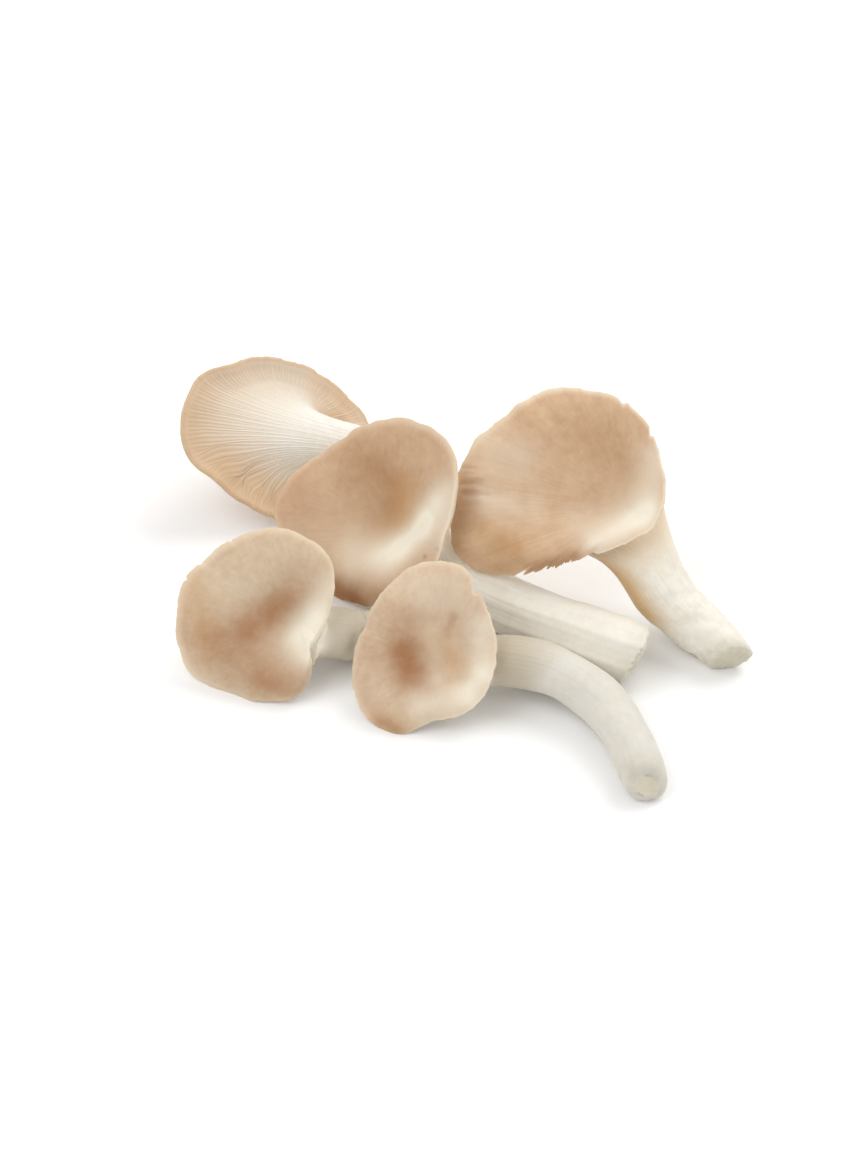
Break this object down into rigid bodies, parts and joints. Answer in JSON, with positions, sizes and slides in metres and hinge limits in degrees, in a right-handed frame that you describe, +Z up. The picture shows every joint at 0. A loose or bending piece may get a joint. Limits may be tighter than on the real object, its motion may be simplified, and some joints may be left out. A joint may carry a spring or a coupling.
{
  "type": "oyster mushroom cluster",
  "caption": "Small pile of picked oyster mushrooms lying together, with fan-shaped caps, gills underneath and curved stems with cut ends.",
  "frame": {"origin": "on the table under the middle of the cluster's bounding box", "axes": "+Z up, +X along the cluster from the upturned mushroom to the largest one's cut stem, +Y away from the curved front stem"},
  "size_m": [0.1723, 0.1555, 0.0635],
  "materials": {
    "mushroom": "matte, tan skin with cream gills and stems"
  },
  "bodies": {
    "root": {"mushroom_back": "mushroom", "mushroom_centre": "mushroom", "mushroom_right": "mushroom", "mushroom_left": "mushroom", "mushroom_front": "mushroom"}
  },
  "joints": []
}
